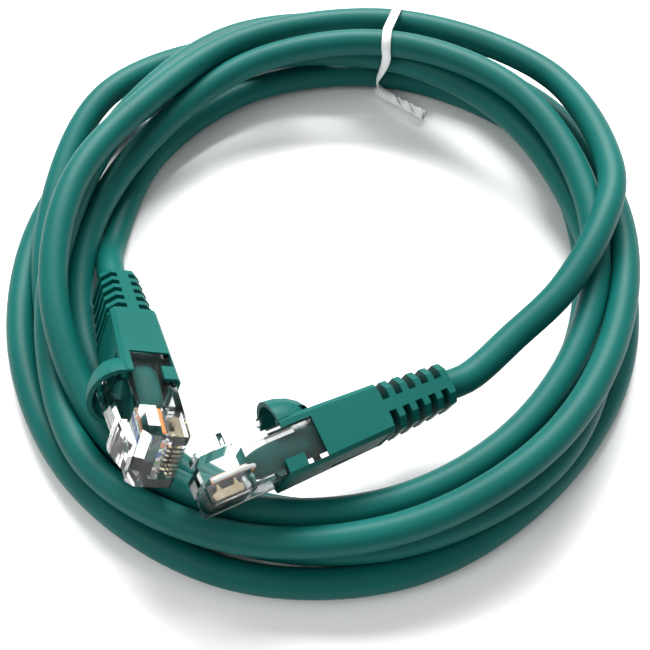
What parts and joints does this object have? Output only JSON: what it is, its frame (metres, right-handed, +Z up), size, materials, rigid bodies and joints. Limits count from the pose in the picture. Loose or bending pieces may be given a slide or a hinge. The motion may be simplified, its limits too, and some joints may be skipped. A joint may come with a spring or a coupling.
{
  "type": "ethernet patch cable",
  "caption": "Round twisted-pair patch cord, loosely coiled and tied, with a clear modular plug and a ribbed snagless boot on each end.",
  "frame": {"origin": "centre of the whole object's plan, on the surface that the coil lies on", "axes": "+Z up out of the coil; +Y points from the plugs towards the tie; +X to the right when the plugs are nearest"},
  "size_m": [0.1257, 0.1358, 0.0281],
  "materials": {
    "jacket_pvc": "green PVC cable jacket, satin with a soft sheen",
    "boot_pvc": "green moulded flexible PVC, satin",
    "clear_polycarbonate": "clear moulded polycarbonate, glossy",
    "contact_gold": "gold-plated phosphor bronze, bright",
    "wire_white_orange": "white polyethylene insulation with an orange stripe",
    "wire_orange": "orange polyethylene insulation",
    "wire_white_green": "white polyethylene insulation with a green stripe",
    "wire_blue": "blue polyethylene insulation",
    "wire_white_blue": "white polyethylene insulation with a blue stripe",
    "wire_green": "green polyethylene insulation",
    "wire_white_brown": "white polyethylene insulation with a brown stripe",
    "wire_brown": "brown polyethylene insulation",
    "tie_plastic": "white plastic-coated twist tie",
    "tie_steel": "annealed steel core wire"
  },
  "bodies": {
    "cable": {"cable_jacket": "jacket_pvc", "conductor_1_white_orange": "wire_white_orange", "conductor_2_orange": "wire_orange", "conductor_3_white_green": "wire_white_green", "conductor_4_blue": "wire_blue", "conductor_5_white_blue": "wire_white_blue", "conductor_6_green": "wire_green", "conductor_7_white_brown": "wire_white_brown", "conductor_8_brown": "wire_brown", "plug_housing_a": "clear_polycarbonate", "boot_a": "boot_pvc", "contact_a_1": "contact_gold", "contact_a_2": "contact_gold", "contact_a_3": "contact_gold", "contact_a_4": "contact_gold", "contact_a_5": "contact_gold", "contact_a_6": "contact_gold", "contact_a_7": "contact_gold", "contact_a_8": "contact_gold", "plug_housing_b": "clear_polycarbonate", "boot_b": "boot_pvc", "contact_b_1": "contact_gold", "contact_b_2": "contact_gold", "contact_b_3": "contact_gold", "contact_b_4": "contact_gold", "contact_b_5": "contact_gold", "contact_b_6": "contact_gold", "contact_b_7": "contact_gold", "contact_b_8": "contact_gold", "tie_ribbon": "tie_plastic", "tie_wire": "tie_steel"},
    "latch_a": {"latch_a": "clear_polycarbonate"},
    "latch_b": {"latch_b": "clear_polycarbonate"}
  },
  "joints": [
    {"name": "latch_a_press", "type": "hinge", "parent": "cable", "child": "latch_a", "pos_m": [-0.03133, -0.05222, 0.02343], "axis": [-0.3436, -0.3681, -0.864], "range_deg": [0, 8], "stiffness_Nm_per_rad": 0.12},
    {"name": "latch_b_press", "type": "hinge", "parent": "cable", "child": "latch_b", "pos_m": [-0.02137, -0.05184, 0.02068], "axis": [-0.2345, 0.1863, -0.9541], "range_deg": [0, 8], "stiffness_Nm_per_rad": 0.12}
  ]
}
